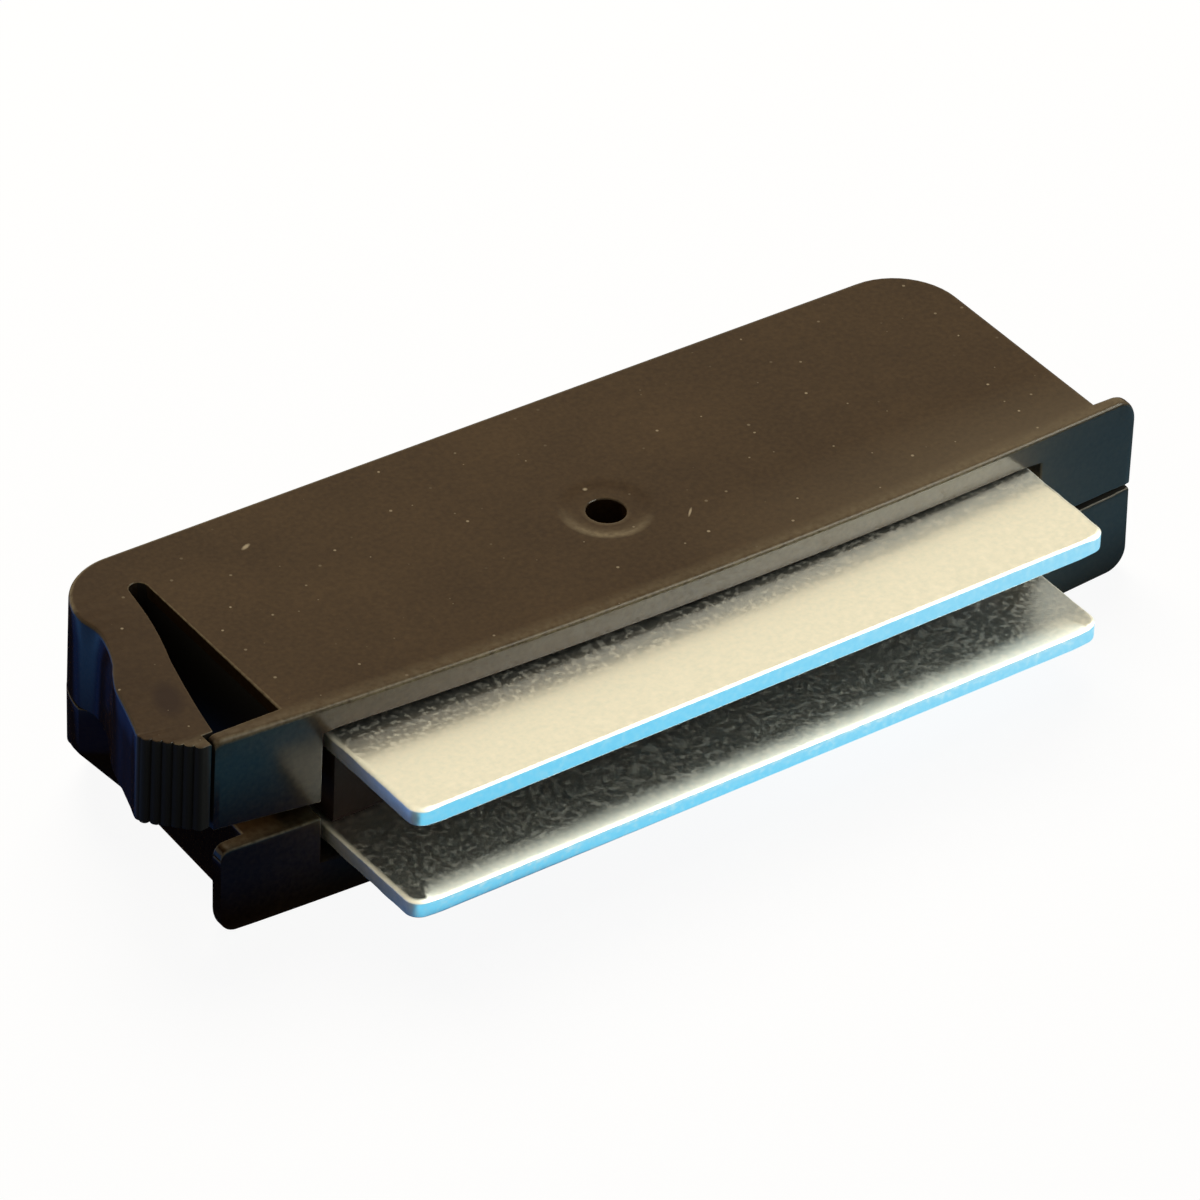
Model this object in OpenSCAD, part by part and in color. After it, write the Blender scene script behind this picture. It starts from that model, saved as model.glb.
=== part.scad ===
// Snap-in magnetic door catch: a two-part moulded casing with a front flange and a
// spring arm, and a loose pack of two steel pole plates with a magnet between them.
// Millimetres. X runs along the flange, Y into the panel, Z up.
// The origin lies on the casing's bottom, at mid flange, in the plane where the
// flange seats on the panel edge.

/* [Magnet pack] */
// Length of a pole plate along the flange
plate_len = 45.5; // [38:0.5:52]
// Depth of a pole plate from its front edge to its back edge
plate_depth = 21.6; // [19:0.1:26]
// Thickness of a pole plate
plate_t = 1.2; // [0.8:0.1:2]
// Corner radius of a pole plate
plate_corner = 0.9; // [0.3:0.1:1.5]
// How far the pole plates stand out in front of the seating plane
plate_out = 8.6; // [6:0.05:9.5]
// Height of the magnet between the plates
magnet_h = 4.9; // [3:0.1:6]
// How far the magnet's front lies behind the plates' front edges
magnet_set_back = 8.1; // [6:0.05:9]
// How far the magnet's back lies in front of the plates' back edges
magnet_back_inset = 1.05; // [0:0.05:2]
// How much shorter the magnet is than the plates at each end
magnet_end_inset = 0.4; // [0:0.1:1.5]
// Room beside the pack at each end
side_play = 0.65; // [0.6:0.05:1.5]
// How far the loose pack lies off the middle of its chamber
pack_offset = 0; // [-0.2:0.05:0.2]
// Angle at which the loose pack lies tilted, up towards the spring arm
pack_tilt = 0.9; // [0:0.1:1.2]
// Angle at which the loose pack lies turned in its chamber, seen from above
pack_turn = 1; // [0:0.1:1]
// Room under the pack
lift_play = 0.05; // [0.02:0.01:0.3]
// Least room over the pack
head_play = 0.05; // [0.05:0.05:0.6]
// Room behind the pack
rear_play = 1.6; // [1.3:0.1:2]

/* [Casing] */
// Height of the lower half
lower_h = 5.2; // [4.6:0.1:6]
// Thickness of the roof, which is also the lip over the window
roof_t = 1.7; // [1.2:0.1:2.5]
// Thickness of the floor under the pack
floor_t = 2.6; // [1.4:0.05:3]
// Thickness of the back wall
back_t = 1.5; // [1:0.1:2.5]
// Thickness of a side wall beside the chamber
side_wall = 4.3; // [3.4:0.1:6]
// Inward lean of each side wall seen from above, in degrees
side_lean = 2; // [0:0.25:3]
// Radius of the plain end's rear corner
rear_r = 4; // [2:0.25:5]
// Gap between the two halves at the plain end
parting_gap = 0.5; // [0.2:0.05:0.8]
// Angle at which the upper half stands open towards the spring arm
gape = 1.5; // [0:0.1:2]
// How far behind the seating plane the lower half starts to rise to the upper half
rise_depth = 8.6; // [7:0.1:10]
// Gap between the two halves along the back
rear_gap = 0.1; // [0.05:0.05:0.3]

/* [Flange] */
// How far the flange stands out beyond the casing at each end
ear = 2.3; // [1.5:0.1:4]
// Thickness of the flange at its ends
flange_t = 0.8; // [0.6:0.1:1.5]
// How far the flange's front bows forward at mid length
flange_crown = 1.1; // [0.4:0.1:1.8]
// Corner radius of the flange seen from the front
flange_corner = 1.2; // [0.4:0.1:2]
// Corner radius of the upper flange beside the spring arm
arm_corner = 0.4; // [0.2:0.1:1.2]

/* [Spring arm] */
// Thickness of the wall between the chamber and the slot
slot_wall = 2; // [1.2:0.1:2.4]
// Width of the slot at its closed end
slot_tip_w = 0.9; // [0.6:0.1:1.4]
// How far the slot's mouth ends short of the flange's end
mouth_inset = 0.4; // [0.2:0.1:1]
// Thickness of the bridge behind the slot
slot_bridge = 2.6; // [2:0.1:5]
// How far the arm's root stands out beyond the flange's end
arm_root_out = 0.2; // [0:0.05:0.8]
// How far the arm's nose stands out beyond its root
arm_swell = 2.95; // [2:0.05:4]
// Depth of the arm's nose behind the seating plane
nose_depth = 1.9; // [1:0.1:3]
// Radius of the arm's nose
nose_r = 0.35; // [0.2:0.05:0.6]
// How far inside the side wall the shoulder's bevel starts
bevel_in = 0.3; // [0.2:0.05:0.6]
// Corner radius of the arm's root
shoulder_r = 4.6; // [3:0.1:6]
// Clearance between the arm's tip and the flange's end
tip_gap = 0.25; // [0.15:0.05:0.5]
// Width of the arm's tip beside the flange's end
tip_w = 0.4; // [0.2:0.05:1]
// Number of grip ribs on the nose
rib_count = 6; // [3:1:8]
// Radius of a grip rib
rib_r = 0.2; // [0.1:0.05:0.3]
// How far the arm's underside lies above the parting face
arm_lift = 0.3; // [0:0.05:1]
// Height of the bevel under the lower half's shoulder
shoulder_bevel = 3.6; // [2:0.1:4.5]

/* [Centre post] */
// Distance of the post from mid flange, towards the spring arm
post_offset = 0.7; // [0:0.1:1.5]
// Diameter of the post's two bosses
post_d = 4.6; // [4:0.1:5]
// Diameter of the socket through the upper boss
socket_d = 2.2; // [1.8:0.1:2.6]
// Grip of the peg in the socket, on its radius
peg_grip = 0.02; // [0.01:0.01:0.04]
// How far the peg stands up above its boss
peg_h = 3.4; // [2.5:0.1:4]
// Room round the post in the plates and the magnet
post_play = 1.2; // [1.1:0.1:1.5]

/* [Hidden] */
$fn = 64;

// Small overlap that makes a cut run past a face
past = 0.5;
// Amount by which a rounded corner stands proud of the walls it blends into
blend = 0.01;

// Widths across the casing
chamber_half = plate_len / 2 + side_play;
casing_half = chamber_half + side_wall;
flange_half = casing_half + ear;

// Depths behind the seating plane
pack_back = plate_depth - plate_out;
magnet_front = magnet_set_back - plate_out;
magnet_depth = plate_depth - magnet_set_back - magnet_back_inset;
post_depth = magnet_front + magnet_depth / 2;
chamber_back = pack_back + rear_play;
casing_depth = chamber_back + back_t;
flange_front = flange_t + flange_crown;
crown_r = (pow(flange_half, 2) + pow(flange_crown, 2)) / (2 * flange_crown);

// Heights above the bottom
pack_h = 2 * plate_t + magnet_h;
pack_low = floor_t + lift_play;
pack_end = pack_offset + plate_len / 2;
pack_z = pack_low + plate_len / 2 * sin(pack_tilt);
parting_z = lower_h + parting_gap;
roof_z = pack_low + pack_h + head_play;
roof_over_parting = (roof_z - parting_z - (flange_half - pack_end) * sin(gape)) / cos(gape);
upper_h = roof_over_parting + roof_t;

// Rear corner of the plain casing, tangent to the leaning side wall
corner_y = casing_depth - rear_r;
corner_x = casing_half - corner_y * tan(side_lean) - rear_r / cos(side_lean);

// Spring arm, in plan
root_x = -(flange_half + arm_root_out);
shoulder_x = root_x + shoulder_r;
shoulder_y = casing_depth - shoulder_r;
nose_x = root_x - arm_swell;
tip_x = -(flange_half + tip_gap);
slot_x = -(chamber_half + slot_wall);
slot_back = casing_depth - slot_bridge - slot_tip_w / 2;
flank_steps = 16;
mouth_x = -(flange_half - mouth_inset);

// Centre post
peg_d = socket_d + 2 * peg_grip;
hole_d = post_d + 2 * post_play;

// One point of the arm's outer flank, from the root (0) to the nose (1)
function flank(t) = [
    root_x - arm_swell * (1 - cos(180 * t)) / 2,
    shoulder_y + (nose_depth - shoulder_y) * t
];

// Places its children in the upper half, which gapes about the plain end
module in_upper() {
    translate([flange_half, 0, parting_z])
        rotate([0, gape, 0])
            translate([-flange_half, 0, 0])
                children();
}

// Places its children on the axis of the centre post
module at_post() {
    translate([-post_offset, post_depth, 0])
        children();
}

// Plan of the plain casing behind the seating plane, rounded at its plain end
module casing_plan() {
    wall_x = corner_x + rear_r * cos(side_lean);
    wall_y = corner_y + rear_r * sin(side_lean);
    polygon([
        [-casing_half, 0], [casing_half, 0], [wall_x, wall_y], [corner_x, casing_depth],
        [-corner_x, casing_depth], [-wall_x, wall_y]
    ]);
    translate([corner_x, corner_y])
        circle(r = rear_r + blend);
}

// Plan of the flange, bowed at the front
module flange_plan() {
    intersection() {
        translate([-flange_half - past, -flange_front])
            square([2 * (flange_half + past), flange_front]);
        translate([0, crown_r - flange_front])
            circle(r = crown_r, $fn = 720);
    }
}

// Plan of the rear corner that carries the spring arm
module shoulder_plan() {
    translate([shoulder_x, shoulder_y])
        circle(r = shoulder_r);
    translate([shoulder_x, shoulder_y])
        square([-shoulder_x, shoulder_r]);
}

// Plan of the spring arm from its root to its free tip
module arm_plan() {
    polygon(concat(
        [[slot_x, shoulder_y], [shoulder_x, shoulder_y]],
        [for (i = [0 : flank_steps]) flank(i / flank_steps)],
        [[tip_x - tip_w, -flange_t], [tip_x, -flange_t], [tip_x, tip_gap], [slot_x, tip_gap]]
    ));
    translate([nose_x + nose_r, nose_depth])
        circle(r = nose_r);
}

// Plan of the wedge slot that frees the arm
module slot_plan() {
    tip_y = slot_back - slot_tip_w / 2;
    polygon([
        [slot_x, 0], [slot_x, tip_y],
        [slot_x - slot_tip_w, tip_y], [mouth_x, 0]
    ]);
    translate([slot_x - slot_tip_w / 2, tip_y])
        circle(d = slot_tip_w);
}

// Front outline of one flange half, rounded at its outer corners only
module flange_outline(height, round_top) {
    left_r = round_top ? arm_corner : flange_corner;
    flange_end(1, flange_corner, height, round_top);
    flange_end(-1, left_r, height, round_top);
}

// One end of that outline, from a little past mid length
module flange_end(side, radius, height, round_top) {
    inner_z = round_top ? 0 : radius;
    outer_z = round_top ? height - radius : radius;
    full_x = side > 0 ? -past : -flange_half;
    short_x = side > 0 ? -past : -flange_half + radius;
    translate([full_x, inner_z])
        square([flange_half + past, height - radius]);
    translate([short_x, 0])
        square([flange_half + past - radius, height]);
    translate([side * (flange_half - radius), outer_z])
        circle(r = radius);
}

// The flange of one half
module half_flange(height, round_top) {
    intersection() {
        linear_extrude(height)
            flange_plan();
        translate([0, past, 0])
            rotate([90, 0, 0])
                linear_extrude(flange_front + 2 * past)
                    flange_outline(height, round_top);
    }
}

// Room for the pack, open to the front as the window
module chamber(height) {
    translate([-chamber_half, -flange_front - past, 0])
        cube([2 * chamber_half, flange_front + past + chamber_back, height]);
}

// Grip ribs on the slanted face between the nose and the tip
module grip_ribs(height) {
    rib_start = [nose_x + nose_r / 2, nose_depth - nose_r];
    rib_end = [tip_x - tip_w, -flange_t];
    for (i = [0 : rib_count - 1])
        translate(rib_start + (rib_end - rib_start) * (i + 0.8) / (rib_count + 0.6))
            cylinder(r = rib_r, h = height, $fn = 24);
}

module upper_shell() {
    color("#40342a")
        in_upper()
            difference() {
                union() {
                    difference() {
                        union() {
                            half_flange(upper_h, true);
                            linear_extrude(upper_h) {
                                casing_plan();
                                shoulder_plan();
                            }
                            translate([0, 0, arm_lift])
                                linear_extrude(upper_h - arm_lift)
                                    arm_plan();
                            translate([0, 0, arm_lift])
                                grip_ribs(upper_h - arm_lift);
                        }
                        translate([0, 0, -past])
                            linear_extrude(upper_h + 2 * past)
                                slot_plan();
                        translate([0, 0, -past])
                            chamber(roof_over_parting + past);
                    }
                    at_post()
                        cylinder(d = post_d, h = upper_h);
                }
                at_post()
                    translate([0, 0, -past])
                        cylinder(d = socket_d, h = upper_h + 2 * past);
            }
}

// Plan of the web that leads from the side wall out to the shoulder
module web_plan(run) {
    polygon([
        [shoulder_x, shoulder_y], [root_x, shoulder_y],
        [root_x + run, shoulder_y - run], [shoulder_x, shoulder_y - run]
    ]);
}

// Everything outside the bevel that rises along the lower half's side wall
module outside_bevel(run) {
    reach = 2 * casing_half;
    translate([-casing_half + bevel_in, 0, 0])
        rotate([0, -atan2(run, shoulder_bevel), -side_lean])
            translate([-reach, -past, -reach])
                cube([reach, reach, 2 * reach]);
}

// Everything above the lower half: level in front, then rising to meet the upper half
module above_lower() {
    reach = 2 * flange_half;
    translate([-reach, -past, lower_h])
        cube([2 * reach, rise_depth + past, 2 * lower_h]);
    in_upper()
        translate([-reach, -past, -rear_gap])
            cube([2 * reach, casing_depth + 2 * past, 2 * lower_h]);
}

module lower_shell() {
    bevel_run = -root_x - casing_half + bevel_in;
    color("#352b24") {
        difference() {
            union() {
                half_flange(lower_h, false);
                difference() {
                    linear_extrude(2 * lower_h) {
                        casing_plan();
                        shoulder_plan();
                        web_plan(bevel_run + bevel_in);
                    }
                    above_lower();
                    outside_bevel(bevel_run);
                }
            }
            translate([0, 0, floor_t])
                chamber(lower_h);
        }
        at_post()
            translate([0, 0, floor_t - past])
                cylinder(d = post_d, h = lower_h - floor_t + past);
        at_post()
            translate([0, 0, lower_h - past])
                cylinder(d = peg_d, h = peg_h + past);
    }
}

// Rectangle with rounded corners, from its front edge backwards
module rounded_plan(length, depth, radius) {
    translate([-length / 2, radius])
        square([length, depth - 2 * radius]);
    translate([-length / 2 + radius, 0])
        square([length - 2 * radius, depth]);
    for (side = [-1, 1])
        for (y = [radius, depth - radius])
            translate([side * (length / 2 - radius), y])
                circle(r = radius);
}

// Places its children in the loose pack, measured from the middle of its lower front edge
module in_pack() {
    translate([pack_offset, -plate_out, pack_z])
        rotate([0, pack_tilt, pack_turn])
            children();
}

// One layer of the pack, with room for the post through it
module pack_piece(z, height) {
    difference() {
        in_pack()
            translate([0, 0, z])
                linear_extrude(height)
                    children();
        at_post()
            cylinder(d = hole_d, h = roof_z + roof_t);
    }
}

module upper_pole_plate() {
    color("#d9d3c0")
        pack_piece(plate_t + magnet_h, plate_t)
            rounded_plan(plate_len, plate_depth, plate_corner);
}

module lower_pole_plate() {
    color("#d9d3c0")
        pack_piece(0, plate_t)
            rounded_plan(plate_len, plate_depth, plate_corner);
}

module magnet() {
    length = plate_len - 2 * magnet_end_inset;
    color("#2a2220")
        pack_piece(plate_t, magnet_h)
            translate([-length / 2, magnet_set_back])
                square([length, magnet_depth]);
}

upper_shell();
lower_shell();
upper_pole_plate();
lower_pole_plate();
magnet();
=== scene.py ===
from math import cos, pi, radians, sin, sqrt, tan

import bpy
import bmesh
from mathutils import Matrix, Vector, noise
from mathutils.geometry import tessellate_polygon


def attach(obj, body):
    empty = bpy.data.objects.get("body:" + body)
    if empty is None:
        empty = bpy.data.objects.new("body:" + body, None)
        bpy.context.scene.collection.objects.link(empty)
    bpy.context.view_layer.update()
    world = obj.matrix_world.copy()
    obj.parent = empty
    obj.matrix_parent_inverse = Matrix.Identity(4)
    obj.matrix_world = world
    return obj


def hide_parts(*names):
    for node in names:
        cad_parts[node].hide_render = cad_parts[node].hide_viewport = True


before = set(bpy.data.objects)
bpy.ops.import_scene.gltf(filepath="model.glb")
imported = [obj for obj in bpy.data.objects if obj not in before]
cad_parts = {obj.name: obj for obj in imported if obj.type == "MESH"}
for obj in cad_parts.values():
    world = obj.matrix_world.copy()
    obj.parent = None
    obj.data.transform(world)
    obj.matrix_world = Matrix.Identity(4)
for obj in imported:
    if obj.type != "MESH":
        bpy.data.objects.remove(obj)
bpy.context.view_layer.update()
mm = 0.001
print("frame loaded")


# small tools

def toLinear(hexCode):
    channels = [int(hexCode[i:i + 2], 16) / 255 for i in (1, 3, 5)]
    return tuple(c / 12.92 if c <= 0.04045 else ((c + 0.055) / 1.055) ** 2.4 for c in channels) + (1.0,)


def addNode(tree, kind, settings, links):
    node = tree.nodes.new(kind)
    for name, value in settings.items():
        if isinstance(name, str) and hasattr(node, name):
            setattr(node, name, value)
        else:
            node.inputs[name].default_value = value
    for name, socket in links.items():
        tree.links.new(socket, node.inputs[name])
    return node


def newMaterial(name):
    material = bpy.data.materials.new(name)
    material.use_nodes = True
    material.node_tree.nodes.clear()
    return material, material.node_tree


def arc(centre, radius, start, end, steps):
    turns = [radians(start + (end - start) * i / steps) for i in range(steps + 1)]
    return [Vector((centre[0] + radius * cos(a), centre[1] + radius * sin(a))) for a in turns]


def circle(centre, radius, steps=48):
    return arc(centre, radius, 0, 360 * (steps - 1) / steps, steps - 1)


def curve(stations, steps):
    # smooth line through all stations but the first and the last, which only steer it
    line = []
    for a, b, c, d in zip(stations, stations[1:], stations[2:], stations[3:]):
        for i in range(steps):
            t = i / steps
            line.append((2 * b + t * (c - a) + t * t * (2 * a - 5 * b + 4 * c - d)
                         + t ** 3 * (3 * b - a - 3 * c + d)) / 2)
    return line


def unevenness(p, scale, layer):
    return noise.noise(Vector((p.x * scale, p.y * scale, layer)))


def inset(ring, amounts):
    # moves each point of a counter-clockwise ring inwards along its mitre
    moved = []
    for i, point in enumerate(ring):
        before = (point - ring[i - 1]).normalized()
        after = (ring[(i + 1) % len(ring)] - point).normalized()
        normalA, normalB = Vector((-before.y, before.x)), Vector((-after.y, after.x))
        mitre = (normalA + normalB) / max(1 + normalA.dot(normalB), 0.35)
        moved.append(point + mitre * amounts[i])
    return moved


def level(ring, height):
    return [Vector((p.x, p.y, height)) for p in ring]


def strip(mesh, ringA, ringB, closed=True):
    start = len(mesh["points"])
    count = len(ringA)
    mesh["points"] += ringA + ringB
    for i in range(count if closed else count - 1):
        j = (i + 1) % count
        mesh["faces"].append((start + i, start + j, start + count + j, start + count + i))


def chain(mesh, rings):
    for a, b in zip(rings, rings[1:]):
        strip(mesh, a, b)


def wall(mesh, low, high, rows):
    # a wall between two rings, in equal rows
    chain(mesh, [[a.lerp(b, k / rows) for a, b in zip(low, high)] for k in range(rows + 1)])


def cap(mesh, outer, holes=()):
    rings = [outer] + list(holes)
    start = len(mesh["points"])
    flat = [[Vector((p.x, p.y, 0)) for p in ring] for ring in rings]
    for ring in rings:
        mesh["points"] += ring
    for triangle in tessellate_polygon(flat):
        mesh["faces"].append(tuple(start + i for i in triangle))


def earEnds(mesh, ring, frontCount):
    # the two flange ends of a face turn down: each is a strip from front to back
    n, k = len(ring), len(endSteps())
    strip(mesh, ring[:k], ring[:n - k - 1:-1], closed=False)
    strip(mesh, ring[frontCount - k:frontCount], ring[frontCount:frontCount + k][::-1], closed=False)
    return n, k


def earedCap(mesh, ring, frontCount, holes=()):
    # one flat face between the flange ends
    n, k = earEnds(mesh, ring, frontCount)
    cap(mesh, ring[k - 1:frontCount - k + 1] + ring[frontCount + k - 1:n - k + 1], holes)


def steppedCap(mesh, ring, frontCount, steps):
    # level in front of a step and rising behind it; steps are the step's eight points in ring order
    n, k = earEnds(mesh, ring, frontCount)
    a, b, c, d, e, f, g, h = steps
    cap(mesh, ring[h:n - k + 1] + ring[k - 1:a + 1])
    cap(mesh, ring[d:frontCount - k + 1] + ring[frontCount + k - 1:e + 1])
    cap(mesh, ring[b:c + 1] + ring[f:g + 1])
    strip(mesh, [ring[a], ring[h]], [ring[b], ring[g]], closed=False)
    strip(mesh, [ring[d], ring[e]], [ring[c], ring[f]], closed=False)


def placeKey(p):
    return (round(p.x, 4), round(p.y, 4), round(p.z, 4))


def markEdge(mesh, ring, amounts):
    # marks points of a rounded edge, 0 to 1: on the nylon they are painted pale, partly wear and partly painted
    # highlight; on the zinc they are rougher
    for p, amount in zip(ring, amounts):
        mesh["edgeMark"][placeKey(p)] = amount


# points closer than weld become one, edges shorter than tiny go, lengths in m; edges over the angle stay sharp
joining = {"weld": 2e-6, "tiny": 1e-7, "sharp": 38}


def makePiece(name, mesh, place, material, body, node):
    shape = bmesh.new()
    edgeMark = shape.verts.layers.float.new("edgeMark")
    corners = [shape.verts.new(place @ p * mm) for p in mesh["points"]]
    for corner, p in zip(corners, mesh["points"]):
        corner[edgeMark] = mesh["edgeMark"].get(placeKey(p), 0.0)
    for face in mesh["faces"]:
        try:
            shape.faces.new([corners[i] for i in face])
        except ValueError:
            pass
    bmesh.ops.remove_doubles(shape, verts=shape.verts, dist=joining["weld"])
    bmesh.ops.dissolve_degenerate(shape, edges=shape.edges, dist=joining["tiny"])
    bmesh.ops.recalc_face_normals(shape, faces=shape.faces)
    data = bpy.data.meshes.new(name)
    shape.to_mesh(data)
    openEdges = sum(1 for e in shape.edges if len(e.link_faces) != 2)
    shape.free()
    data.polygons.foreach_set("use_smooth", [True] * len(data.polygons))
    data.set_sharp_from_angle(angle=radians(joining["sharp"]))
    data.materials.append(material)
    piece = bpy.data.objects.new(name, data)
    bpy.context.scene.collection.objects.link(piece)
    even = piece.modifiers.new("evenShading", "WEIGHTED_NORMAL")
    even.keep_sharp = True
    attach(piece, body)
    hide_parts(node)
    print(name, len(data.polygons), "faces", openEdges, "open edges")


# materials

def zone(tree, spot, limits):
    # a soft-edged region along one axis: axis, start and end in mm, strength past the end
    axis, start, end, most = limits
    return addNode(tree, "ShaderNodeMapRange", {"From Min": start * mm, "From Max": end * mm, "To Max": most},
                   {0: spot.outputs[axis]})


def dustLayer(tree, place, gapMm, largest, share):
    # one grain in a share of the cells of a flat Voronoi field, its size and strength differing from cell to cell
    cells = addNode(tree, "ShaderNodeTexVoronoi", {"voronoi_dimensions": "2D", "Scale": 1 / (gapMm * mm)},
                    {"Vector": place})
    pick = addNode(tree, "ShaderNodeSeparateColor", {}, {0: cells.outputs["Color"]})
    size = addNode(tree, "ShaderNodeMapRange", {"From Min": 1 - share, "To Max": largest}, {0: pick.outputs[0]})
    fade = addNode(tree, "ShaderNodeMath", {"operation": "SUBTRACT"},
                   {0: size.outputs[0], 1: cells.outputs["Distance"]})
    soft = addNode(tree, "ShaderNodeMath", {"operation": "MULTIPLY", 1: 2.5 / largest, "use_clamp": True},
                   {0: fade.outputs[0]})
    return addNode(tree, "ShaderNodeMath", {"operation": "MULTIPLY"}, {0: soft.outputs[0], 1: pick.outputs[1]})


def mark(tree, place, spot):
    # a soft-edged oval seen from above: centre, half length and half width in mm, turn in radians
    x, y, length, width, turn = spot
    local = addNode(tree, "ShaderNodeMapping",
                    {"vector_type": "TEXTURE", "Location": (x * mm, y * mm, 0), "Rotation": (0, 0, turn),
                     "Scale": (length * mm, width * mm, 10.0)}, {"Vector": place})
    reach = addNode(tree, "ShaderNodeVectorMath", {"operation": "LENGTH"}, {0: local.outputs[0]})
    return addNode(tree, "ShaderNodeMapRange", {"From Min": 1.0, "From Max": 0.4}, {0: reach.outputs["Value"]})


# moulded brown nylon: satin, slightly cloudy, with a fine grain, pale edges that are partly wear and partly painted
# highlight, dust on its upper faces, and painted shade in its recesses and on the arm
nylonLook = {"deep": "#3b2814", "light": "#523e26", "dust": "#c2b59c", "wearAndHighlight": "#a09377", "paintedShade": "#050302",
             "shaded": "#2a140a", "satin": 0.3, "polished": 0.15, "matt": 0.8, "abraded": 0.3, "specular": 0.18,
             "cloudMm": 9.0, "grainMm": 0.3, "waveMm": 3.5, "nickMm": 0.35, "recessMm": 1.2,
             "dustGapMm": 1.5, "dustLargest": 0.075, "dustShare": 0.42,
             "flakes": [(-19.0, 12.9, 0.4, 0.16, 0.4), (3.15, 3.14, 0.5, 0.08, 0.8), (-0.44, 7.89, 0.16, 0.14, 0.0)],
             "armShade": (-29.9, 3.7, 2.3, 1.15, 1.2), "slotWallX": -25.52, "slotWallReach": 0.15,
             "bowMm": 819.2, "scuffFrom": -0.7, "scuffTo": -1.5, "scuff": 0.32,
             "zones": {"arm": (0, -25.0, -28.0, 0.3), "right": (0, 0.0, 20.0, 0.17), "front": (1, 4.0, -1.0, 1.0),
                       "parting": (2, 6.2, 6.0, 1.0), "plainSide": (0, 18.0, 22.0, 1.0), "nose": (1, 2.1, 1.7, 1.0),
                       "armSide": (0, -30.1, -30.4, 1.0), "inSlot": (1, 0.05, 0.2, 1.0)}}


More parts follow.
